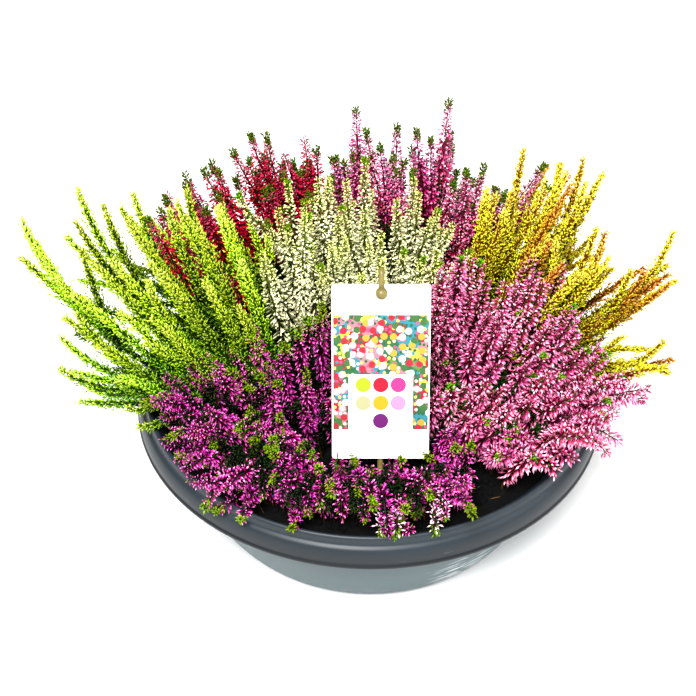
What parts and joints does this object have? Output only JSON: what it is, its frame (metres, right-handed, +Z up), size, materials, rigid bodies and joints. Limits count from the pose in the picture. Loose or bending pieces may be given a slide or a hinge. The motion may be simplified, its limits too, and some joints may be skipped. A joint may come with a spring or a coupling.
{
  "type": "potted heather",
  "caption": "Round wide-rimmed planting bowl filled with soil and a cushion of heathers in mixed colours, with a card label on a stake.",
  "frame": {"origin": "centre of the bowl's flat underside, on the surface it stands on", "axes": "+Z up; -Y is the side the label faces; +X to the right of the label"},
  "size_m": [0.3617, 0.278, 0.219],
  "materials": {
    "bowl": "satin slate-grey moulded plastic",
    "soil": "damp peat with fibres",
    "card": "white coated card, printed panel",
    "stake": "tan, smooth",
    "lime_heather": "lime-green needle foliage",
    "red_heather": "crimson florets, green tips",
    "pink_heather": "magenta-pink florets, green tips",
    "white_heather": "cream-white florets on green stems",
    "gold_heather": "golden to orange needle foliage",
    "blush_heather": "light-pink florets, deep-pink throats",
    "purple_heather": "purple florets with pale ends"
  },
  "bodies": {
    "root": {"bowl": "bowl", "potting_soil": "soil", "label_card": "card", "label_stake": "stake", "lime_heather_spray_1": "lime_heather", "lime_heather_spray_2": "lime_heather", "lime_heather_spray_3": "lime_heather", "lime_heather_spray_4": "lime_heather", "lime_heather_spray_5": "lime_heather", "lime_heather_spray_6": "lime_heather", "lime_heather_spray_7": "lime_heather", "lime_heather_spray_8": "lime_heather", "red_heather_spray_1": "red_heather", "red_heather_spray_2": "red_heather", "red_heather_spray_3": "red_heather", "red_heather_spray_4": "red_heather", "red_heather_spray_5": "red_heather", "red_heather_spray_6": "red_heather", "pink_heather_spray_1": "pink_heather", "pink_heather_spray_2": "pink_heather", "pink_heather_spray_3": "pink_heather", "pink_heather_spray_4": "pink_heather", "pink_heather_spray_5": "pink_heather", "pink_heather_spray_6": "pink_heather", "pink_heather_spray_7": "pink_heather", "white_heather_spray_1": "white_heather", "white_heather_spray_2": "white_heather", "white_heather_spray_3": "white_heather", "white_heather_spray_4": "white_heather", "white_heather_spray_5": "white_heather", "gold_heather_spray_1": "gold_heather", "gold_heather_spray_2": "gold_heather", "gold_heather_spray_3": "gold_heather", "gold_heather_spray_4": "gold_heather", "gold_heather_spray_5": "gold_heather", "gold_heather_spray_6": "gold_heather", "gold_heather_spray_7": "gold_heather", "blush_heather_spray_1": "blush_heather", "blush_heather_spray_2": "blush_heather", "blush_heather_spray_3": "blush_heather", "blush_heather_spray_4": "blush_heather", "blush_heather_spray_5": "blush_heather", "blush_heather_spray_6": "blush_heather", "blush_heather_spray_7": "blush_heather", "blush_heather_spray_8": "blush_heather", "blush_heather_spray_9": "blush_heather", "purple_heather_spray_1": "purple_heather", "purple_heather_spray_2": "purple_heather", "purple_heather_spray_3": "purple_heather", "purple_heather_spray_4": "purple_heather", "purple_heather_spray_5": "purple_heather", "purple_heather_spray_6": "purple_heather", "purple_heather_spray_7": "purple_heather", "purple_heather_spray_8": "purple_heather", "purple_front_heather_spray_1": "purple_heather", "purple_front_heather_spray_2": "purple_heather", "purple_front_heather_spray_3": "purple_heather", "purple_front_heather_spray_4": "purple_heather", "purple_front_heather_spray_5": "purple_heather", "purple_right_heather_spray_1": "purple_heather"}
  },
  "joints": []
}
